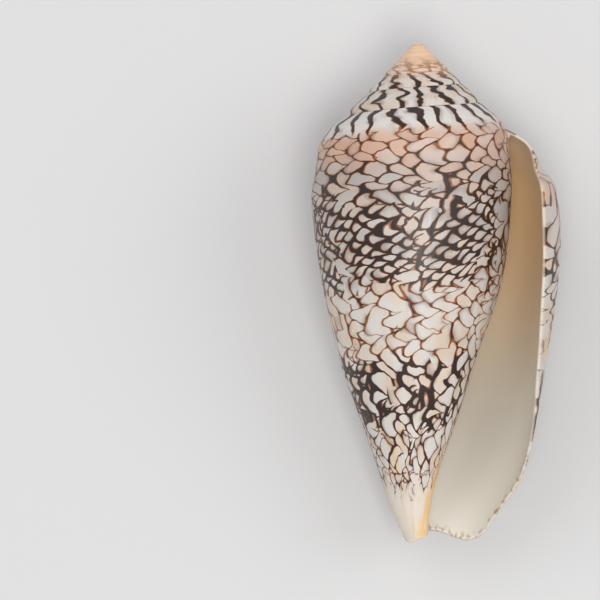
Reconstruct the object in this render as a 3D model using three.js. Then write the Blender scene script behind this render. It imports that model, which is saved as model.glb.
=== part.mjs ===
// A cone shell as one closed solid: a low spire, one large last whorl that wraps the earlier ones, and a
// long narrow mouth that opens into the hollow of that whorl and runs out at the front end as a canal.
//
// The shell grew as a spiral tube, so its surface is drawn by one profile that turns about the axis. "turn"
// counts back from the right side of the mouth: 0 right, 0.25 back, 0.5 left, 0.75 front, 1 right again, one
// whorl earlier. "knot" runs down the profile: 0 suture, 1 ramp, 2 shoulder, then the flank to 8, the front
// end. In the shell's own frame X is right, -Y runs down the axis from the apex, and Z faces the mouth.
import * as THREE from "three";

// Spire: the suture winds down a cone, each whorl this much smaller than the next one.
const WHORL_RATIO = 0.705;
const SUTURE_DEPTH = 10;
const SPIRE_SLOPE = 0.94;
const SPIRE_TURNS = 7;
const RAMP_BULGE = 0.034;
const LAST_RAMP_BULGE = 0.45;

// Flank, knots 3 to 8, as [radius, depth below the apex] in millimetres at three stages half a whorl apart.
const FLANK_AT_RIGHT = [[14.9, 16.9], [15.3, 23.4], [14.3, 31.5], [12.8, 39.3], [11.2, 48.1], [9.2, 53.4]];
const FLANK_AT_LEFT = [[11.5, 14.2], [12, 18.5], [10.7, 28.3], [8.3, 38], [4.2, 48], [1, 55.6]];
const FLANK_AT_WALL = [[9.9, 13.3], [10, 17.8], [8.8, 27], [5.2, 37.1], [2.1, 47.8], [1.2, 54.8]];
const INNER_SHRINK = 0.6;

// Front end: the column swings left of the axis there, and the edge of the whorl has one rounded lobe.
const COLUMN_SWING = 1;
const SWING_FROM = 40;
const SWING_TO = 54;
const LOBE_LENGTH = 1.8;
const LOBE_TURN = 0.09;
const LOBE_SPREAD = 0.065;

// Mouth, one value for each knot: where the lip ends, as degrees towards the front from the right side; how
// many turns the hollow reaches back; and how thick the wall is.
const LIP_ANGLE = [0, 3, 21, 31, 33, 30, 22, 8, -18];
const HOLLOW_TURNS = [0.86, 0.86, 0.86, 0.86, 0.86, 0.84, 0.78, 0.58, 0.36];
const WALL = [1, 1, 1.1, 1.15, 1.15, 1.15, 1.1, 0.9, 0.55];
const LIP_WALL_SHARE = 0.35;
const LIP_TAPER_TURNS = 0.12;

// The hollow's ceiling joins the ramp at the first knot to the whorl inside at the second.
const CEILING_START = 0.38;
const CEILING_KNOT = 2.5;

// How the shell lies: on its back with the mouth up, the axis rising towards the apex from the widest place.
// A small flat is worn there, which keeps it from rolling.
const PITCH_DEG = 5.8;
const REST_FLAT = 0.2;

// Facets.
const COLUMNS = 60;
const HOLLOW_COLUMNS = 50;
const KNOTS = [0, 1, 2, CEILING_KNOT, 3, 3.5, 4, 4.5, 5, 5.5, 6, 6.5, 7, 7.35, 7.7, 8];
const SHOULDER_ROW = KNOTS.indexOf(2);
const CEILING_ROW = KNOTS.indexOf(CEILING_KNOT);
const LAST_ROW = KNOTS.length - 1;
const LAST_KNOT = KNOTS[LAST_ROW];

const SHELL_WHITE = 0xe9e2d6;

const { lerp, smoothstep, degToRad } = THREE.MathUtils;

function atKnot(values, knot) {
  const curve = new THREE.SplineCurve(values.map((value, i) => new THREE.Vector2(i, value)));
  return curve.getPoint(knot / LAST_KNOT).y;
}

function suture(turn) {
  const depth = SUTURE_DEPTH * WHORL_RATIO ** turn;
  return new THREE.Vector2(SPIRE_SLOPE * depth, depth);
}

// A smooth curve through stages half a turn apart; before the first stage it runs on straight.
function betweenStages(stages, turn) {
  const place = turn / 0.5;
  const from = THREE.MathUtils.clamp(Math.floor(place), 0, stages.length - 2);
  const [a, b] = [stages[from], stages[from + 1]];
  const before = from > 0 ? stages[from - 1] : 2 * a - b;
  const after = from + 2 < stages.length ? stages[from + 2] : 2 * b - a;
  const [slopeA, slopeB] = [(b - before) / 2, (after - a) / 2];
  const t = place - from;
  if (t < 0) return a + slopeA * t;
  return a + slopeA * t + (3 * (b - a) - 2 * slopeA - slopeB) * t ** 2 + (2 * (a - b) + slopeA + slopeB) * t ** 3;
}

// Inside the last whorl the flank narrows with each turn and stretches up to reach its own shoulder.
function innerStage([radius, depth], turn) {
  const tip = FLANK_AT_WALL.at(-1)[1];
  const stretch = (tip - suture(turn - 1).y) / (tip - suture(0).y);
  return [radius * INNER_SHRINK ** (turn - 1), tip - (tip - depth) * stretch];
}

function flankPoint(index, turn) {
  const wall = FLANK_AT_WALL[index];
  const stages = [FLANK_AT_RIGHT[index], FLANK_AT_LEFT[index], wall, innerStage(wall, 1.5), innerStage(wall, 2)];
  const root = betweenStages(stages.map((stage) => Math.sqrt(stage[0])), turn);
  const depth = betweenStages(stages.map((stage) => stage[1]), turn);
  return new THREE.Vector2(root ** 2, depth);
}

function profile(turn) {
  const top = suture(turn);
  const shoulder = suture(turn - 1);
  const bulge = RAMP_BULGE * top.y + LAST_RAMP_BULGE * (1 - smoothstep(turn, 0, 1));
  const ramp = top.clone().add(shoulder).multiplyScalar(0.5);
  ramp.add(new THREE.Vector2(bulge, -bulge).multiplyScalar(Math.SQRT1_2));
  const flank = FLANK_AT_RIGHT.map((_, index) => flankPoint(index, turn));
  flank.at(-1).y += LOBE_LENGTH * Math.exp(-(((turn - LOBE_TURN) / LOBE_SPREAD) ** 2));
  return new THREE.SplineCurve([top, ramp, shoulder, ...flank]);
}

function inSpace({ x: radius, y: depth }, turn) {
  const angle = 2 * Math.PI * turn;
  const centre = -COLUMN_SWING * smoothstep(depth, SWING_FROM, SWING_TO);
  return new THREE.Vector3(centre + radius * Math.cos(angle), -depth, -radius * Math.sin(angle));
}

function lipTurn(knot) {
  return -atKnot(LIP_ANGLE, knot) / 360;
}

// Columns count back from the lip: the first ones span the hollow, the rest complete each turn. Rows down to
// the ceiling keep the suture's own spacing on the earlier whorls, where each one meets the whorl above.
function turnAt(row, column) {
  const whorl = Math.floor(column / COLUMNS);
  const place = column - whorl * COLUMNS;
  const knot = whorl > 0 && row <= CEILING_ROW ? 0 : KNOTS[row];
  const hollow = atKnot(HOLLOW_TURNS, knot);
  if (place <= HOLLOW_COLUMNS) return whorl + lerp(lipTurn(knot), hollow, place / HOLLOW_COLUMNS);
  const end = 1 + lipTurn(row <= CEILING_ROW ? 0 : knot);
  return whorl + lerp(hollow, end, (place - HOLLOW_COLUMNS) / (COLUMNS - HOLLOW_COLUMNS));
}

function outerPoint(row, column) {
  const turn = turnAt(row, column);
  return inSpace(profile(turn).getPoint(KNOTS[row] / LAST_KNOT), turn);
}

// The wall's inner face: the outer profile moved inwards along its own normal, thinner towards the lip.
function innerPoint(row, column) {
  const turn = turnAt(row, column);
  const knot = Math.max(KNOTS[row], CEILING_START);
  const curve = profile(turn);
  const place = curve.getPoint(knot / LAST_KNOT);
  const along = curve.getTangent(knot / LAST_KNOT);
  const fromLip = smoothstep(turn - lipTurn(knot), 0, LIP_TAPER_TURNS);
  const wall = atKnot(WALL, knot) * lerp(LIP_WALL_SHARE, 1, fromLip);
  return inSpace(new THREE.Vector2(place.x - along.y * wall, place.y + along.x * wall), turn);
}

const positions = [];
const triangles = [];
const known = new Map();

function vertex(name, place) {
  if (!known.has(name)) {
    known.set(name, positions.length / 3);
    positions.push(...place().toArray());
  }
  return known.get(name);
}

// Each suture vertex is the shoulder vertex of the whorl above; only the first whorl has a suture of its own.
function outside(row, column) {
  if (row === 0 && column <= (SPIRE_TURNS - 1) * COLUMNS) return outside(SHOULDER_ROW, column + COLUMNS);
  return vertex(`outside ${row} ${column}`, () => outerPoint(row, column));
}

function inside(row, column) {
  return vertex(`inside ${row} ${column}`, () => innerPoint(row, column));
}

// Quads between two lines of vertices, a and b, walked from "from" to "to".
function strip(from, to, a, b) {
  for (let i = from; i < to; i++) {
    triangles.push(a(i), b(i), b(i + 1));
    triangles.push(a(i), b(i + 1), a(i + 1));
  }
}

// Ramps of all the whorls, then the flank of the last one and its inner continuation along the hollow.
for (let row = 0; row < SHOULDER_ROW; row++)
  strip(0, SPIRE_TURNS * COLUMNS, (column) => outside(row, column), (column) => outside(row + 1, column));
for (let row = SHOULDER_ROW; row < LAST_ROW; row++) {
  const reach = COLUMNS + (row < CEILING_ROW ? 0 : HOLLOW_COLUMNS);
  strip(0, reach, (column) => outside(row, column), (column) => outside(row + 1, column));
}

// Inner face of the wall, the hollow's ceiling and its far end, then the edge of the lip.
for (let row = 0; row < LAST_ROW; row++)
  strip(0, HOLLOW_COLUMNS, (column) => inside(row + 1, column), (column) => inside(row, column));
strip(0, HOLLOW_COLUMNS, (column) => inside(0, column), (column) => outside(CEILING_ROW, column + COLUMNS));
const farEnd = COLUMNS + HOLLOW_COLUMNS;
strip(
  0,
  LAST_ROW,
  (row) => inside(row, HOLLOW_COLUMNS),
  (row) => outside(Math.max(row, CEILING_ROW), farEnd),
);
strip(0, LAST_ROW, (row) => outside(row, 0), (row) => inside(row, 0));
triangles.push(outside(0, 0), outside(CEILING_ROW, COLUMNS), inside(0, 0));

// The tip of the spire.
const tipLoop = [];
for (let column = (SPIRE_TURNS - 1) * COLUMNS; column <= SPIRE_TURNS * COLUMNS; column++)
  tipLoop.push(outside(0, column));
tipLoop.push(outside(1, SPIRE_TURNS * COLUMNS));
const apex = vertex("apex", () => new THREE.Vector3());
tipLoop.forEach((v, i) => triangles.push(apex, v, tipLoop[(i + 1) % tipLoop.length]));

// The front end, round the outside from the lip to the far end of the hollow and back along the wall.
const frontLoop = [];
for (let column = 0; column <= farEnd; column++) frontLoop.push(outside(LAST_ROW, column));
for (let column = HOLLOW_COLUMNS; column >= 0; column--) frontLoop.push(inside(LAST_ROW, column));
const flat = frontLoop.map((v) => new THREE.Vector2(positions[3 * v], positions[3 * v + 2]));
for (const [a, b, c] of THREE.ShapeUtils.triangulateShape(flat, []))
  triangles.push(frontLoop[a], frontLoop[b], frontLoop[c]);

const faces = [];
for (let i = 0; i < triangles.length; i += 3) {
  const [a, b, c] = triangles.slice(i, i + 3);
  if (a !== b && b !== c && c !== a) faces.push(a, b, c);
}

const geometry = new THREE.BufferGeometry();
geometry.setAttribute("position", new THREE.Float32BufferAttribute(positions, 3));
geometry.setIndex(faces);
geometry.rotateX(degToRad(PITCH_DEG));
geometry.computeBoundingBox();
const { min, max } = geometry.boundingBox;
geometry.translate(-(min.x + max.x) / 2, -(min.y + max.y) / 2, -min.z - REST_FLAT);
const place = geometry.getAttribute("position");
for (let i = 0; i < place.count; i++) place.setZ(i, Math.max(place.getZ(i), 0));
geometry.computeVertexNormals();

const shell = new THREE.Mesh(geometry, new THREE.MeshStandardMaterial({ color: SHELL_WHITE, roughness: 0.35 }));
shell.name = "shell";

const coneShell = new THREE.Group();
coneShell.name = "cone shell";
coneShell.add(shell);

export default coneShell;
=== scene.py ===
"""A cone shell lying on its back, mouth up, on a pale floor under soft studio light."""
import math
from types import SimpleNamespace

import bpy
import numpy as np
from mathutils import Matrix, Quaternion, Vector


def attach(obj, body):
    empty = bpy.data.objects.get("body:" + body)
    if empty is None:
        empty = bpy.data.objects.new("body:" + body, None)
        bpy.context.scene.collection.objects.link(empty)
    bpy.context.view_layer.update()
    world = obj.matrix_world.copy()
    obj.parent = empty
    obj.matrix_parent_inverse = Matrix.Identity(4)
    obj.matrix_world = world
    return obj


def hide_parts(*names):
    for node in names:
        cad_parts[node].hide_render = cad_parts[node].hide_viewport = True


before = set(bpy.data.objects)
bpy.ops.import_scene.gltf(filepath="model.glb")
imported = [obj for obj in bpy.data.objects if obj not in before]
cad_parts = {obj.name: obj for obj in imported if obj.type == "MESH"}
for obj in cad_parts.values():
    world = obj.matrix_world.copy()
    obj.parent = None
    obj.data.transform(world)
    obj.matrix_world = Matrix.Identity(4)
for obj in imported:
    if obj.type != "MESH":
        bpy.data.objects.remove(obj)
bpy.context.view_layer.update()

# ---------------------------------------------------------------------------------------------------------
# Shape. One profile turns about the axis; lengths in millimetres. "turn" counts back from the right side of
# the mouth: 0 right, 0.25 back, 0.5 left, 0.75 front, 1 right again, one whorl earlier. "knot" runs down the
# profile: 0 suture, 1 ramp, 2 shoulder, then the flank to 8, the front end.
WHORL_RATIO = 0.705
SUTURE_DEPTH = 10
SPIRE_SLOPE = 0.94
SPIRE_TURNS = 8
APEX_DEPTH = 0.32
APEX_RINGS = [0.7, 0.4, 0.15]
RAMP_BULGE = 0.034
LAST_RAMP_BULGE = 0.45
FLANK_AT_RIGHT = [[14.9, 16.9], [15.3, 23.4], [14.3, 31.5], [12.8, 39.3], [11.2, 48.1], [9.2, 53.4]]
FLANK_AT_LEFT = [[11.5, 14.2], [12, 18.5], [10.7, 28.3], [8.3, 38], [4.2, 48], [1, 55.6]]
FLANK_AT_WALL = [[9.9, 13.3], [10, 17.8], [8.8, 27], [5.2, 37.1], [2.1, 47.8], [1.2, 54.8]]
INNER_SHRINK = 0.6
COLUMN_SWING = 1
SWING_FROM, SWING_TO = 40, 54
LOBE_LENGTH, LOBE_TURN, LOBE_SPREAD = 1.8, 0.09, 0.065
LIP_ANGLE = [0, 3, 21, 31, 33, 30, 22, 8, -18]
HOLLOW_TURNS = [0.86, 0.86, 0.86, 0.86, 0.86, 0.84, 0.78, 0.58, 0.36]
WALL = [1, 1, 1.1, 1.15, 1.15, 1.15, 1.1, 0.9, 0.55]
LIP_WALL_SHARE, LIP_TAPER_TURNS = 0.35, 0.12
LIP_ROUNDING = 0.12
CEILING_START, CEILING_KNOT = 0.38, 2.5
GLAZE_STARTS = 1.0, 1.09
PITCH_DEG = 5.8
REST_FLAT = 0.2

GROWTH_RADIUS = 12.5
COLUMNS, HOLLOW_COLUMNS = 240, 200
RAMP_ROWS, FLANK_ROWS = 8, 84
SHOULDER_KNOT, LAST_KNOT = 2, 8
KNOTS = np.r_[
    np.linspace(0, SHOULDER_KNOT, RAMP_ROWS + 1),
    np.linspace(SHOULDER_KNOT, LAST_KNOT, FLANK_ROWS + 1)[1:],
]
SHOULDER_ROW = RAMP_ROWS
CEILING_ROW = int(np.argmin(abs(KNOTS - CEILING_KNOT)))
LAST_ROW = len(KNOTS) - 1


def smoothstep(x, low, high):
    t = np.clip((x - low) / (high - low), 0, 1)
    return t * t * (3 - 2 * t)


def curve_through(points, place):
    """Uniform Catmull-Rom through points (first axis), at place counted in points; also its slope."""
    points = np.asarray(points, float)
    last = len(points) - 1
    i = np.clip(np.floor(place).astype(int), 0, last - 1)
    t = place - i

    def pick(index):
        index = np.clip(index, 0, last)
        if points.ndim == 1:
            return points[index]
        return np.take_along_axis(points, index[None], 0)[0]

    before, a, b, after = pick(i - 1), pick(i), pick(i + 1), pick(i + 2)
    slope_a, slope_b = (b - before) / 2, (after - a) / 2
    square, cube = 3 * (b - a) - 2 * slope_a - slope_b, 2 * (a - b) + slope_a + slope_b
    return a + slope_a * t + square * t**2 + cube * t**3, slope_a + 2 * square * t + 3 * cube * t**2


def at_knot(values, knot):
    return curve_through(values, knot)[0]


def suture(turn):
    depth = SUTURE_DEPTH * WHORL_RATIO**turn
    return SPIRE_SLOPE * depth, depth


def between_stages(stages, turn):
    """Through stages half a turn apart, straight on before the first and after the last."""
    ends = np.array([2 * stages[0] - stages[1], *stages, 2 * stages[-1] - stages[-2]])
    place = turn / 0.5
    inside = curve_through(ends, np.clip(place, 0, None) + 1)[0]
    straight = stages[0] + (stages[1] - ends[0]) / 2 * place
    return np.where(place < 0, straight, inside)


def inner_stage(stage, turn):
    radius, depth = stage
    tip = FLANK_AT_WALL[-1][1]
    stretch = (tip - suture(turn - 1)[1]) / (tip - suture(0)[1])
    return radius * INNER_SHRINK ** (turn - 1), tip - (tip - depth) * stretch


def profile_at(turn, knot):
    """Radius and depth on the profile, and the unit direction along it."""
    top_r, top_d = suture(turn)
    shoulder_r, shoulder_d = suture(turn - 1)
    bulge = (RAMP_BULGE * top_d + LAST_RAMP_BULGE * (1 - smoothstep(turn, 0, 1))) * math.sqrt(0.5)
    radii = [top_r, (top_r + shoulder_r) / 2 + bulge, shoulder_r]
    depths = [top_d, (top_d + shoulder_d) / 2 - bulge, shoulder_d]
    for right, left, wall in zip(FLANK_AT_RIGHT, FLANK_AT_LEFT, FLANK_AT_WALL):
        stages = [right, left, wall, inner_stage(wall, 1.5), inner_stage(wall, 2)]
        held = np.minimum(turn, 2)
        radii.append(between_stages([math.sqrt(stage[0]) for stage in stages], held) ** 2)
        depths.append(between_stages([stage[1] for stage in stages], held))
    # The earlier whorls' flanks are hidden, so only their start counts, and it shrinks with the whorl.
    shrink = WHORL_RATIO ** (turn - 1)
    wall_r, wall_d = FLANK_AT_WALL[0]
    early = smoothstep(turn, 1.3, 1.9)
    radii[3] = radii[3] * (1 - early) + wall_r * shrink * early
    depths[3] = depths[3] * (1 - early) + wall_d * shrink * early
    depths[-1] = depths[-1] + LOBE_LENGTH * np.exp(-(((turn - LOBE_TURN) / LOBE_SPREAD) ** 2))
    radius, along_r = curve_through(radii, knot)
    depth, along_d = curve_through(depths, knot)
    length = np.hypot(along_r, along_d)
    return radius, depth, along_r / length, along_d / length


def in_space(radius, depth, turn):
    angle = 2 * np.pi * turn
    centre = -COLUMN_SWING * smoothstep(depth, SWING_FROM, SWING_TO)
    return np.stack([centre + radius * np.cos(angle), -depth, -radius * np.sin(angle)], -1)


def lip_turn(knot):
    return -at_knot(LIP_ANGLE, knot) / 360


def turn_at(row, column):
    whorl = column // COLUMNS
    place = column - whorl * COLUMNS
    knot = np.where((whorl > 0) & (row <= CEILING_ROW), 0, KNOTS[row])
    hollow = at_knot(HOLLOW_TURNS, knot)
    in_hollow = lip_turn(knot) + (hollow - lip_turn(knot)) * place / HOLLOW_COLUMNS
    end = 1 + lip_turn(np.where(row <= CEILING_ROW, 0, knot))
    rest = hollow + (end - hollow) * (place - HOLLOW_COLUMNS) / (COLUMNS - HOLLOW_COLUMNS)
    return whorl + np.where(place <= HOLLOW_COLUMNS, in_hollow, rest)


class Sheets:
    """Gathers grids of vertices and the quads between them."""

    def __init__(self):
        self.places, self.turns, self.knots, self.insides, self.faces = [], [], [], [], []
        self.count = 0

    def add(self, places, turns, knots, inside):
        shape = places.shape[:-1]
        self.places.append(places.reshape(-1, 3))
        for store, values in ((self.turns, turns), (self.knots, knots), (self.insides, inside)):
            store.append(np.broadcast_to(values, shape).ravel())
        ids = np.arange(self.count, self.count + int(np.prod(shape))).reshape(shape)
        self.count += ids.size
        return ids

    def strip(self, a, b):
        """Quads between two lines of vertices."""
        self.faces.append(np.stack([a[:-1], b[:-1], b[1:], a[1:]], -1))

    def grid(self, ids):
        for a, b in zip(ids[:-1], ids[1:]):
            self.strip(a, b)


def outer_face(sheets, rows):
    """The ramps of all the whorls, the last flank, and the flank inside it that the hollow runs along."""
    columns = np.arange((SPIRE_TURNS + 1) * COLUMNS + 1)
    row, column = np.meshgrid(rows, columns, indexing="ij")
    reach = np.where(row <= SHOULDER_ROW, SPIRE_TURNS * COLUMNS, COLUMNS + HOLLOW_COLUMNS)
    turn = turn_at(row, column)
    knot = KNOTS[row]
    radius, depth, _, _ = profile_at(turn, knot)
    places = in_space(radius, depth, turn)
    in_mouth = smoothstep(turn, *GLAZE_STARTS) * (row > SHOULDER_ROW)
    # Every suture but the first whorl's is the shoulder of the whorl above.
    shared = columns[: (SPIRE_TURNS - 1) * COLUMNS + 1]
    used = (column <= reach) & ~((row == 0) & (column <= shared[-1]))
    ids = -np.ones(row.shape, int)
    ids[used] = sheets.add(places[used], turn[used], knot[used], in_mouth[used])
    ids[0, shared] = ids[SHOULDER_ROW, shared + COLUMNS]
    return ids


def inner_face(sheets, rows):
    """The wall's inner face: the outer profile moved inwards along its own normal, thinner to the lip."""
    row, column = np.meshgrid(rows, np.arange(HOLLOW_COLUMNS + 1), indexing="ij")
    turn = turn_at(row, column)
    knot = np.maximum(KNOTS[row], CEILING_START)
    radius, depth, along_r, along_d = profile_at(turn, knot)
    from_lip = smoothstep(turn - lip_turn(knot), 0, LIP_TAPER_TURNS)
    wall = at_knot(WALL, knot) * (LIP_WALL_SHARE + (1 - LIP_WALL_SHARE) * from_lip)
    return sheets.add(in_space(radius - along_d * wall, depth + along_r * wall, turn), turn, knot, 1.0)


def lip_edge(sheets):
    """The rounded edge of the lip, pushed forward between the two faces."""
    turn = lip_turn(KNOTS)
    radius, depth, along_r, along_d = profile_at(turn, KNOTS)
    half = at_knot(WALL, KNOTS) * LIP_WALL_SHARE / 2
    forward = turn - LIP_ROUNDING / (2 * np.pi * radius)
    return sheets.add(in_space(radius - along_d * half, depth + along_r * half, forward), turn, KNOTS, 0.5)


def spire_tip(sheets, outside):
    """Rings that round the tip off; returns the triangles between the last ring and the apex."""
    last_turn = SPIRE_TURNS * COLUMNS
    rim = [*outside[0, last_turn - COLUMNS : last_turn + 1], *outside[1:SHOULDER_ROW, last_turn]]
    apex_place = np.array([0, -APEX_DEPTH, 0])
    ring = np.concatenate(sheets.places)[rim]
    rings = [np.array(rim + rim[:1])]
    for share in APEX_RINGS:
        places = apex_place + (ring - apex_place) * share
        places[:, 1] += (ring[:, 1].mean() + APEX_DEPTH) * (share**2 - share)
        ids = sheets.add(places, SPIRE_TURNS, 0, 0)
        rings.append(np.append(ids, ids[0]))
    sheets.grid(rings)
    apex = sheets.add(apex_place[None], SPIRE_TURNS, 0, 0)[0]
    return [[apex, a, b] for a, b in zip(rings[-1][:-1], rings[-1][1:])]


def build_shell():
    sheets = Sheets()
    rows = np.arange(LAST_ROW + 1)
    outside, inside, edge = outer_face(sheets, rows), inner_face(sheets, rows), lip_edge(sheets)
    far = COLUMNS + HOLLOW_COLUMNS
    sheets.grid(outside[: SHOULDER_ROW + 1, : SPIRE_TURNS * COLUMNS + 1])
    sheets.grid(outside[SHOULDER_ROW : CEILING_ROW + 1, : COLUMNS + 1])
    sheets.grid(outside[CEILING_ROW:, : far + 1])
    sheets.grid(inside[::-1])
    # The hollow's ceiling and its far end, then the edge of the lip.
    sheets.strip(inside[0], outside[CEILING_ROW, COLUMNS : far + 1])
    sheets.strip(inside[:, -1], outside[np.maximum(rows, CEILING_ROW), far])
    sheets.strip(outside[:, 0], edge)
    sheets.strip(edge, inside[:, 0])
    lip_corner = [outside[0, 0], outside[CEILING_ROW, COLUMNS], inside[0, 0], edge[0]]
    caps = [lip_corner, *spire_tip(sheets, outside)]
    return sheets, caps, inside, outside, edge


def all_polygons(sheets, caps, inside, outside, edge):
    """Quads and caps without vertices that repeat, and the front end."""
    polygons = []
    for f in np.concatenate(sheets.faces).tolist() + [list(map(int, cap)) for cap in caps]:
        kept = [v for i, v in enumerate(f) if v != f[i - 1]]
        if len(kept) > 2:
            polygons.append(kept)
    # The front end: the rim of the wall, then the end of the column.
    outer_rim, inner_rim = outside[-1].tolist(), inside[-1].tolist()
    for c in range(HOLLOW_COLUMNS):
        polygons.append([outer_rim[c], inner_rim[c], inner_rim[c + 1], outer_rim[c + 1]])
    polygons.append([outer_rim[0], int(edge[-1]), inner_rim[0]])
    polygons.append([*outer_rim[HOLLOW_COLUMNS : COLUMNS + HOLLOW_COLUMNS + 1], inner_rim[HOLLOW_COLUMNS]])
    return polygons


def lay_down(places, used):
    """Pitch the axis, centre the box of the used vertices and wear the flat it rests on; returns metres."""
    pitch = math.radians(PITCH_DEG)
    y = places[:, 1] * math.cos(pitch) - places[:, 2] * math.sin(pitch)
    z = places[:, 1] * math.sin(pitch) + places[:, 2] * math.cos(pitch)
    places = np.stack([places[:, 0], y, z], -1)
    low, high = places[used].min(0), places[used].max(0)
    middle = (low + high) / 2
    places -= [middle[0], middle[1], low[2] + REST_FLAT]
    places[:, 2] = np.maximum(places[:, 2], 0)
    return places / 1000


def corner_values(mesh, sheets):
    """What the pattern needs to know at each face corner."""
    corners = np.empty(len(mesh.loops), int)
    mesh.loops.foreach_get("vertex_index", corners)
    starts = np.empty(len(mesh.polygons), int)
    mesh.polygons.foreach_get("loop_start", starts)
    turn = np.concatenate(sheets.turns)[corners]
    knot = np.concatenate(sheets.knots)[corners]
    # A suture vertex is also the shoulder of the whorl above: below it, it counts as the start of a ramp.
    lowest = np.repeat(np.minimum.reduceat(knot, starts), np.diff(np.r_[starts, len(corners)]))
    shared = (lowest < 1) & (knot >= SHOULDER_KNOT)
    turn = np.where(shared, turn - 1, turn)
    knot = np.where(shared, 0, knot)
    return {
        "turn": turn,
        "knot": knot,
        "glaze": np.concatenate(sheets.insides)[corners],
        "from_lip": (turn - lip_turn(knot)) * 2 * np.pi * GROWTH_RADIUS,
    }


def shell_mesh():
    sheets, caps, inside, outside, edge = build_shell()
    used = np.unique(np.concatenate([f.ravel() for f in sheets.faces] + [caps[-1]]))
    places = lay_down(np.concatenate(sheets.places), used)
    mesh = bpy.data.meshes.new("shell_surface")
    mesh.from_pydata(places.tolist(), [], all_polygons(sheets, caps, inside, outside, edge))
    for name, values in corner_values(mesh, sheets).items():
        mesh.attributes.new(name, "FLOAT", "CORNER").data.foreach_set("value", values.astype(np.float32))
    mesh.polygons.foreach_set("use_smooth", [True] * len(mesh.polygons))
    mesh.validate()
    mesh.update()
    return mesh


# ---------------------------------------------------------------------------------------------------------
# Pattern. "place" is the way down the profile from the suture and "time" the growth round the shell at
# GROWTH_RADIUS, both in millimetres. A pair of numbers is where a smooth step starts and ends.
PLACE_AT_KNOT = [0, 2.7, 5.5, 8.3, 13.2, 22.5, 32.2, 42.6, 50]
UPPER_BAND = (11.0, 15.0), (23.5, 20.5)
LOWER_BAND = (28.5, 31.0), (39.0, 36.5)
PALE_BELT = (20.5, 23.5), (31.0, 28.5)
HEAVY_BELT = (7.5, 10.5), (24.0, 20.0)
BLUSH_BELT = (3.0, 6.0), (15.0, 9.0)
LILAC_BELT = (6.0, 10.0), (25.0, 16.0)
NET_START = (2.8, 4.6)
FRONT_BARE = (43.5, 46.0)
# Scales: how far apart their rows are in time, and how wide they are and how far their noses reach.
LARGE_NET = {"spacing": 1.6, "width": 2.6, "reach": 2.7, "seed": 3.7}
SMALL_NET = {"spacing": 1.4, "width": 1.45, "reach": 1.2, "seed": 91.3}
SMALL_NET_SLANT = 0.2
STREAKS_TO_APEX, STREAK_LOSS = 108.0, 0.25
SEAM_PLACE, SEAM_TURNS = 42.6, ((0.5, 0.58), (0.84, 0.76))
ROUGHNESS = 0.47
RELIEF_STRENGTH, RELIEF_HEIGHT = 0.4, 0.00012

WARM_WHITE, COOL_WHITE = (0.62, 0.49, 0.39), (0.62, 0.58, 0.53)
RAMP_WHITE, FRONT_CREAM = (0.7, 0.68, 0.65), (0.72, 0.63, 0.52)
HONEY, BLUSH, LILAC = (0.74, 0.5, 0.24), (0.54, 0.29, 0.19), (0.36, 0.34, 0.33)
SMUDGE = (0.2, 0.17, 0.16)
LINE_FRINGE, LINE_CORE = (0.29, 0.095, 0.027), (0.016, 0.009, 0.007)
EARLY_TINT, BLOTCH, TIP_SALMON = (0.8, 0.5, 0.3), (0.42, 0.15, 0.04), (0.78, 0.52, 0.34)
CANAL_STAIN, LIP_SPECK = (0.8, 0.48, 0.16), (0.36, 0.15, 0.04)
# The first inside colour, tan, is painted light: the warm, dim light deep in the mouth's hollow, whose wall
# is cream.
PAINTED_DEPTH_TAN, MOUTH_CREAM, LIP_CREAM = (0.95, 0.7, 0.42), (0.7, 0.65, 0.56), (0.74, 0.69, 0.6)


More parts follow.
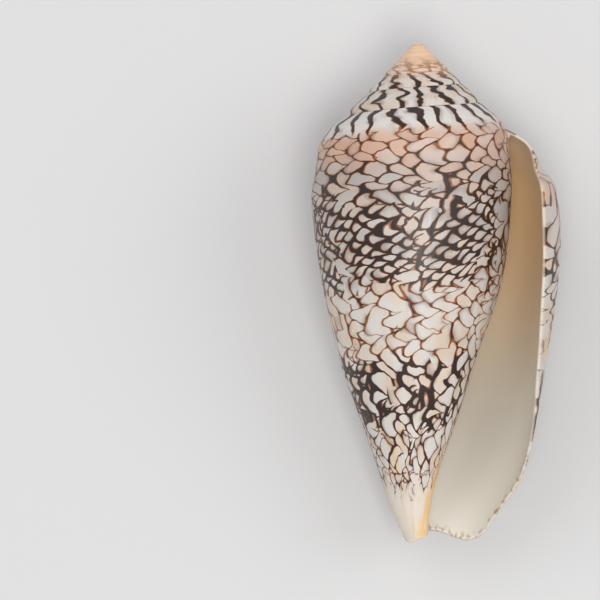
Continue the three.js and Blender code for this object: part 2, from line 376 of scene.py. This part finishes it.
class Graph:
    """Shader nodes written as formulas: every method returns an output socket."""

    def __init__(self, tree):
        self.tree = tree

    def node(self, kind, inputs=(), output=0, **settings):
        made = self.tree.nodes.new(kind)
        for name, value in settings.items():
            setattr(made, name, value)
        for name, value in dict(inputs).items():
            self.feed(made.inputs[name], value)
        return made.outputs[output]

    def feed(self, socket, value):
        if isinstance(value, bpy.types.NodeSocket):
            self.tree.links.new(value, socket)
        else:
            socket.default_value = value

    def math(self, operation, *values):
        return self.node("ShaderNodeMath", enumerate(values), operation=operation)

    def chain(self, operation, values):
        total = values[0]
        for value in values[1:]:
            total = self.math(operation, total, value)
        return total

    def add(self, *values):
        return self.chain("ADD", values)

    def mul(self, *values):
        return self.chain("MULTIPLY", values)

    def sub(self, a, b):
        return self.math("SUBTRACT", a, b)

    def step(self, value, low, high):
        """0 below low, 1 above high, smooth between; low may be above high."""
        inputs = {"Value": value, "From Min": low, "From Max": high}
        return self.node("ShaderNodeMapRange", inputs, interpolation_type="SMOOTHSTEP")

    def zone(self, value, rise, fall):
        """1 between the two steps, 0 outside them."""
        return self.mul(self.step(value, *rise), self.step(value, *fall))

    def paint(self, factor, a, b):
        """Colours a to b, given as sockets or as (r, g, b)."""
        colours = [c if isinstance(c, bpy.types.NodeSocket) else (*c, 1) for c in (a, b)]
        inputs = {0: factor, 6: colours[0], 7: colours[1]}
        return self.node("ShaderNodeMix", inputs, 2, data_type="RGBA")

    def curve(self, value, points):
        """A smooth curve through (x, y) points, both from 0 to 1."""
        made = self.tree.nodes.new("ShaderNodeFloatCurve")
        line = made.mapping.curves[0]
        while len(line.points) < len(points):
            line.points.new(0.5, 0.5)
        for point, (x, y) in zip(line.points, points):
            point.location = (x, y)
        made.mapping.update()
        self.feed(made.inputs["Value"], value)
        return made.outputs[0]

    def vector(self, x, y, z=0.0):
        return self.node("ShaderNodeCombineXYZ", {0: x, 1: y, 2: z})

    def noise(self, vector, scale, detail=1.0):
        """Smooth noise, about -0.5 to 0.5."""
        inputs = {"Vector": vector, "Scale": scale, "Detail": detail}
        return self.sub(self.node("ShaderNodeTexNoise", inputs), 0.5)

    def row_noise(self, place):
        inputs = {"W": place, "Scale": 1.0, "Detail": 1.0}
        return self.sub(self.node("ShaderNodeTexNoise", inputs, noise_dimensions="1D"), 0.5)

    def attribute(self, name):
        return self.node("ShaderNodeAttribute", output=2, attribute_name=name)


def read_surface(g):
    """What the mesh says of each point, and what follows from it, as sockets."""
    turn, knot, glaze, from_lip = map(g.attribute, ("turn", "knot", "glaze", "from_lip"))
    longest = PLACE_AT_KNOT[-1]
    steps = [(i / LAST_KNOT, place / longest) for i, place in enumerate(PLACE_AT_KNOT)]
    place = g.mul(g.curve(g.mul(knot, 1 / LAST_KNOT), steps), longest)
    time = g.mul(turn, -2 * math.pi * GROWTH_RADIUS)
    return SimpleNamespace(
        turn=turn, knot=knot, glaze=glaze, from_lip=from_lip, place=place, time=time,
        # Whorls back from the mouth, counted without a jump at the sutures.
        age=g.sub(turn, g.mul(g.math("MINIMUM", knot, 2.0), 0.5)),
        last_whorl=g.step(turn, 1.1, 0.97),
        at_lip=g.step(turn, 0.12, -0.02),
        outside=g.sub(1.0, glaze),
        ground=g.vector(time, place),
        shifted=g.vector(g.add(time, 70.0), g.add(place, 40.0)),
    )


def scale_net(g, time, place, spacing, width, reach, seed, missing):
    """Overlapping scales, as tents grow: staggered rows of noses, each row laid over by the row before it.

    Returns the distance to the nearest line, and two random numbers that each scale has to itself."""
    rows, far = 3, 99.0
    first = g.math("FLOOR", g.mul(time, 1 / spacing))
    front, ahead, behind, found, own, other = None, far, -far, 0.0, 0.0, 0.0
    for k in range(-rows, rows + 1):
        # Along the row: which scale this is, and how far across it.
        row = g.add(first, float(k))
        sway = g.mul(g.row_noise(g.add(g.mul(place, 0.45 / width), g.mul(row, 7.31), seed)), 1.1)
        along = g.add(g.mul(place, 1 / width), g.mul(row, 0.5), sway)
        cell = g.math("FLOOR", along)
        inside = g.sub(along, cell)
        dice = g.node("ShaderNodeTexWhiteNoise", {"Vector": g.vector(cell, row, seed)}, 1)
        red, green, blue = (g.node("ShaderNodeSeparateColor", {0: dice}, i) for i in range(3))
        # Its nose: a rounded tent with the tip a little to one side, of its own size, or missing.
        tip = g.add(0.3, g.mul(red, 0.4))
        rise = g.math("DIVIDE", inside, tip)
        fall = g.math("DIVIDE", g.sub(1.0, inside), g.sub(1.0, tip))
        away = g.sub(1.0, g.math("SMOOTH_MIN", rise, fall, 0.4))
        tent = g.sub(1.0, g.math("POWER", away, 2.0))
        size = g.mul(g.math("GREATER_THAN", green, missing), g.add(0.75, g.mul(green, 0.6)))
        wobble = g.mul(g.row_noise(g.add(along, g.mul(row, 3.7))), 0.5)
        nose = g.add(g.mul(g.add(row, wobble), spacing), -reach)
        nose = g.sub(g.add(nose, g.mul(tent, size, reach)), time)
        front = nose if front is None else g.math("SMOOTH_MAX", front, nose, 0.6 * spacing)
        # The first front not yet passed is the scale's own; the nearest on each side make its outline.
        passed = g.math("LESS_THAN", front, 0.0)
        not_passed = g.sub(1.0, passed)
        behind = g.math("MAXIMUM", behind, g.sub(front, g.mul(not_passed, far)))
        ahead = g.math("MINIMUM", ahead, g.add(front, g.mul(passed, far)))
        new = g.mul(not_passed, g.sub(1.0, found))
        own = g.add(own, g.mul(new, blue))
        other = g.add(other, g.mul(new, green))
        found = g.math("MAXIMUM", found, not_passed)
    lean = 1 / math.hypot(1, reach / width)
    return g.mul(g.math("SMOOTH_MIN", ahead, g.mul(behind, -1.0), 1.1 * spacing), lean), own, other


def draw_net(g, at):
    """The net's ink on the last whorl's flank (above 0 is a line), and what the colours need of it."""
    # The growing edge was never quite straight.
    broad, fine = 0.13, 0.6
    late = g.mul(g.noise(at.ground, broad), 3.0), g.mul(g.noise(at.ground, fine), 0.7)
    aside = g.mul(g.noise(at.shifted, broad), 2.6), g.mul(g.noise(at.shifted, fine), 0.6)
    warped_time, warped_place = g.add(at.time, *late), g.add(at.place, *aside)
    slanted_place = g.sub(warped_place, g.mul(at.time, SMALL_NET_SLANT))

    # Two dark bands run round the flank; between them the scales are large and the lines thin.
    wander = g.add(at.place, g.mul(g.noise(at.ground, 0.12), 5.0))
    upper_band, lower_band = g.zone(wander, *UPPER_BAND), g.zone(wander, *LOWER_BAND)
    near_mouth = g.mul(g.step(at.turn, 0.84, 0.93), 0.7)
    patch = g.mul(g.step(g.noise(at.ground, 0.2, 2.0), -0.22, 0.05), g.sub(1.0, near_mouth))
    dark_upper, dark_lower = g.mul(upper_band, patch), g.mul(lower_band, patch)
    dark = g.math("MAXIMUM", dark_upper, dark_lower)
    pale = g.zone(wander, *PALE_BELT)

    missing = g.add(0.1, g.mul(pale, 0.3), g.mul(dark_lower, 0.25), g.mul(at.at_lip, 0.3))
    gap_large, own, other = scale_net(g, warped_time, warped_place, **LARGE_NET, missing=missing)
    gap_small, _, _ = scale_net(g, warped_time, slanted_place, **SMALL_NET, missing=0.06)
    uneven = g.noise(at.ground, 0.5)
    bare = g.step(g.add(at.place, g.mul(g.noise(at.ground, 0.25), 9.0)), *FRONT_BARE)
    heavy = g.zone(at.place, *HEAVY_BELT)
    thick = g.add(0.18, g.mul(heavy, 0.06), g.mul(dark_lower, 0.26), g.mul(uneven, 0.25))
    thick = g.sub(thick, g.add(g.mul(bare, 0.9), g.mul(at.at_lip, 0.05), g.mul(pale, 0.04)))
    # Some of the large scales, most of them in the upper band, are filled with small ones; where all of them
    # are, their own outlines go.
    often = g.add(g.mul(dark_upper, 1.5), g.mul(dark_lower, 0.3), g.mul(g.noise(at.shifted, 0.15), 0.6), 0.05)
    often = g.sub(often, g.add(at.at_lip, bare))
    empty = g.step(g.sub(own, often), -0.04, 0.04)
    all_filled = g.step(often, 0.95, 1.1)
    small_thick = g.add(0.12, g.mul(dark, 0.2), g.mul(uneven, 0.2))
    ink_large = g.sub(g.sub(thick, gap_large), g.mul(all_filled, 1.2))
    ink_small = g.sub(g.sub(small_thick, gap_small), g.mul(empty, 0.9))
    ink = g.math("SMOOTH_MAX", ink_large, ink_small, 0.3)
    on_flank = g.mul(g.step(at.place, *NET_START), at.last_whorl)
    ink = g.sub(ink, g.mul(g.sub(1.0, on_flank), 3.0))
    brown = g.math("MAXIMUM", pale, g.mul(g.step(at.place, 9.5, 6.5), on_flank))
    return SimpleNamespace(ink=ink, own=own, other=other, bare=bare, brown=brown)


def draw_streaks(g, at, spire_ground, streaks):
    """The ink of the streaks that run down the ramps from the suture."""
    bend = g.add(g.mul(g.noise(spire_ground, 1.0), 1.6), g.mul(g.noise(spire_ground, 2.6), 0.35))
    beat = g.mul(g.math("PINGPONG", g.add(streaks, bend, g.mul(at.knot, 0.25)), 0.5), 2.3)
    thick = g.add(0.34, g.mul(g.step(at.knot, 1.2, 0.0), 0.2), g.mul(g.noise(spire_ground, 1.7), 0.7))
    end = g.mul(g.step(at.place, 3.6, 8.0), at.last_whorl, 1.2)
    return g.sub(g.sub(thick, beat), end)


def draw_seam(g, at):
    """The ink of the broken line where the canal's older edges heal over."""
    seam_place = g.add(at.place, g.mul(g.noise(at.ground, 0.5), 1.4), -SEAM_PLACE)
    broken = g.step(g.noise(at.ground, 0.8), -0.1, 0.0)
    seam = g.mul(g.zone(at.turn, *SEAM_TURNS), broken)
    return g.sub(g.mul(seam, 0.12), g.math("ABSOLUTE", seam_place))


def colour_scales(g, at, net, ink):
    """The colours between the lines: whites, tinted in patches and on single scales."""
    patches = g.add(g.noise(at.ground, 0.3), g.mul(net.other, 0.3))
    white = g.paint(g.step(patches, -0.05, 0.35), WARM_WHITE, COOL_WHITE)
    ramp = g.mul(g.step(at.place, 6.0, 3.0), at.last_whorl)
    white = g.paint(g.mul(ramp, 0.7), white, RAMP_WHITE)
    white = g.paint(g.mul(net.bare, at.last_whorl, 0.7), white, FRONT_CREAM)
    stained = g.step(g.noise(at.shifted, 0.16, 2.0), 0.07, 0.2)
    honey = g.mul(stained, g.step(at.place, 2.0, 6.0), at.last_whorl)
    white = g.paint(g.mul(honey, 0.6), white, HONEY)
    shoulder = g.zone(at.place, *BLUSH_BELT)
    blush = g.mul(shoulder, at.last_whorl, g.sub(1.0, g.mul(at.at_lip, 0.7)))
    white = g.paint(g.mul(blush, g.add(0.35, g.mul(net.own, 0.55))), white, BLUSH)
    lilac = g.mul(g.zone(at.place, *LILAC_BELT), g.sub(1.0, g.mul(at.at_lip, 0.8)))
    white = g.paint(g.mul(lilac, g.add(0.2, g.mul(net.other, 0.6))), white, LILAC)
    smudge = g.mul(g.step(ink, -0.6, 0.0), g.step(g.noise(at.shifted, 0.35), -0.05, 0.15), 0.55)
    return g.paint(smudge, white, SMUDGE)


def colour_spire_tip(g, at, spire_ground, colour):
    """The earliest whorls are salmon, with orange-brown blotches after them."""
    early = g.step(at.age, 2.0, 3.4)
    colour = g.paint(g.mul(early, 0.5), colour, EARLY_TINT)
    blotch = g.mul(early, g.step(g.noise(spire_ground, 2.2), 0.0, 0.1))
    colour = g.paint(g.mul(blotch, 0.85), colour, BLOTCH)
    return g.paint(g.step(at.age, 3.4, 4.8), colour, TIP_SALMON)


def colour_mouth(g, at, colour):
    """Orange stain on the canal's edge, tan to cream inside, the tan being painted light deep in the hollow,
    and specks along the front of the lip.
    """
    edge_turn = g.add(at.turn, g.mul(g.sub(at.place, 42.0), 0.02))
    uneven = g.step(g.noise(at.ground, 0.4), -0.3, 0.05)
    stain = g.mul(g.step(at.place, 38.0, 43.0), g.step(edge_turn, 0.84, 0.95), uneven)
    colour = g.paint(g.mul(stain, 0.8), colour, CANAL_STAIN)
    # Painted light: tan deep in the hollow, where the light is warm and dim, to the wall's own cream further
    # down.
    cream = g.paint(g.step(at.place, 8.0, 40.0), PAINTED_DEPTH_TAN, MOUTH_CREAM)
    cream = g.paint(g.step(at.from_lip, 14.0, 0.0), cream, g.paint(0.5, cream, LIP_CREAM))
    colour = g.paint(at.glaze, colour, cream)
    front_edge = g.mul(g.step(at.place, 48.6, 49.8), g.step(at.turn, 0.3, 0.2))
    near_edge = g.math("MAXIMUM", g.step(at.from_lip, 1.4, 0.3), front_edge)
    spots = g.step(g.noise(g.vector(g.mul(at.time, 0.9), at.place), 1.3, 2.0), -0.02, 0.12)
    speckle = g.mul(near_edge, g.step(at.place, 37.0, 42.0), g.step(at.glaze, 0.2, 0.6), spots)
    return g.paint(g.mul(speckle, 0.75), colour, LIP_SPECK)


def carve_relief(g, at):
    """Growth lines run along the lip, and faint spiral threads cross them towards the front end."""
    growth = g.noise(g.vector(g.mul(at.time, 2.6), g.mul(at.place, 0.12)), 1.0, 2.0)
    threads = g.noise(g.vector(g.mul(at.time, 0.06), g.mul(at.place, 1.8)), 1.0)
    relief = g.add(g.mul(growth, 0.6), g.mul(threads, g.step(at.place, 26.0, 44.0), 1.2))
    bump = {"Height": g.mul(relief, at.outside), "Strength": RELIEF_STRENGTH, "Distance": RELIEF_HEIGHT}
    return g.node("ShaderNodeBump", bump)


def shell_material():
    made = bpy.data.materials.new("shell_net")
    made.use_nodes = True
    g = Graph(made.node_tree)
    shader = made.node_tree.nodes["Principled BSDF"]
    at = read_surface(g)

    # The net covers the flank, streaks cover the ramps, fewer on each earlier whorl, and a thin line marks
    # the suture.
    net = draw_net(g, at)
    streaks = g.mul(g.math("EXPONENT", g.mul(at.turn, -STREAK_LOSS)), STREAKS_TO_APEX)
    spire_ground = g.vector(g.mul(streaks, 0.45), g.mul(at.knot, 0.9))
    ink = g.math("SMOOTH_MAX", net.ink, draw_streaks(g, at, spire_ground, streaks), 0.25)
    ink = g.math("MAXIMUM", ink, g.sub(0.12, g.mul(at.knot, 3.0)))
    ink = g.math("MAXIMUM", ink, draw_seam(g, at))
    ink = g.add(ink, g.mul(g.noise(at.ground, 3.0), 0.05))

    # Each line is dark with a brown fringe, and the thin lines are browner.
    line = g.step(ink, -0.03, 0.04)
    core = g.step(g.sub(ink, g.mul(net.brown, 0.05)), 0.06, 0.13)
    line_colour = g.paint(core, LINE_FRINGE, LINE_CORE)
    colour = g.paint(line, colour_scales(g, at, net, ink), line_colour)
    colour = colour_spire_tip(g, at, spire_ground, colour)
    g.feed(shader.inputs["Base Color"], colour_mouth(g, at, colour))
    g.feed(shader.inputs["Normal"], carve_relief(g, at))
    worn = g.add(ROUGHNESS, g.mul(g.noise(at.ground, 0.7, 2.0), at.outside, 0.25), g.mul(line, -0.04))
    g.feed(shader.inputs["Roughness"], worn)
    return made


# ---------------------------------------------------------------------------------------------------------
# Studio, in metres. A light is its place, size and watts.
LIGHTS = {
    "key": ((-0.35, 0.3, 0.6), 0.5, 1.2),
    "front": ((0.03, -0.2, 0.72), 0.28, 2.5),
    "fill": ((0.45, 0.1, 0.5), 0.4, 1.0),
}
SKY, SKY_STRENGTH = (0.94, 0.96, 1), 0.55
FLOOR_HALF, FLOOR_PAINT, FLOOR_ROUGHNESS = 3, (0.62, 0.61, 0.6), 0.8

# The camera looks almost straight down at the mouth, from the front end's side, and has the shell on the
# right of its frame. It sees VIEW_WIDTH across at AIM.
ELEVATION, ROLL = math.radians(84.2), math.radians(-0.9)
DISTANCE = 0.6
VIEW_WIDTH = 0.0664
AIM = (-0.01515, -0.00057, 0.012)


def add_object(name, data):
    made = bpy.data.objects.new(name, data)
    bpy.context.collection.objects.link(made)
    return made


def look_at(thing, place, target, roll=0):
    thing.location = place
    turned = (Vector(target) - Vector(place)).to_track_quat("-Z", "Y")
    thing.rotation_euler = (turned @ Quaternion((0, 0, 1), roll)).to_euler()


def add_light(name, place, size, watts):
    data = bpy.data.lights.new(name, "AREA")
    data.shape = "SQUARE"
    data.size = size
    data.energy = watts
    look_at(add_object(name, data), place, (0, 0, 0))


def add_floor():
    data = bpy.data.meshes.new("floor")
    corners = [(x * FLOOR_HALF, y * FLOOR_HALF, 0) for x, y in ((-1, -1), (1, -1), (1, 1), (-1, 1))]
    data.from_pydata(corners, [], [(0, 1, 2, 3)])
    paint = bpy.data.materials.new("floor_pale")
    paint.use_nodes = True
    shader = paint.node_tree.nodes["Principled BSDF"]
    shader.inputs["Base Color"].default_value = (*FLOOR_PAINT, 1)
    shader.inputs["Roughness"].default_value = FLOOR_ROUGHNESS
    data.materials.append(paint)
    return add_object("floor", data)


def add_sky():
    world = bpy.data.worlds.new("studio")
    world.use_nodes = True
    background = world.node_tree.nodes["Background"]
    background.inputs["Color"].default_value = (*SKY, 1)
    background.inputs["Strength"].default_value = SKY_STRENGTH
    bpy.context.scene.world = world


def add_camera():
    data = bpy.data.cameras.new("camera")
    data.angle = 2 * math.atan(VIEW_WIDTH / 2 / DISTANCE)
    camera = add_object("camera", data)
    back = Vector((0, -math.cos(ELEVATION), math.sin(ELEVATION)))
    look_at(camera, Vector(AIM) + back * DISTANCE, AIM, ROLL)
    bpy.context.scene.camera = camera


surface = shell_mesh()
surface.materials.append(shell_material())
shell = add_object("shell_visual", surface)
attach(shell, "root")
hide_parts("shell")

floor = add_floor()
for name, (place, size, watts) in LIGHTS.items():
    add_light(name, place, size, watts)
add_sky()
add_camera()
bpy.context.scene.view_settings.view_transform = "Standard"
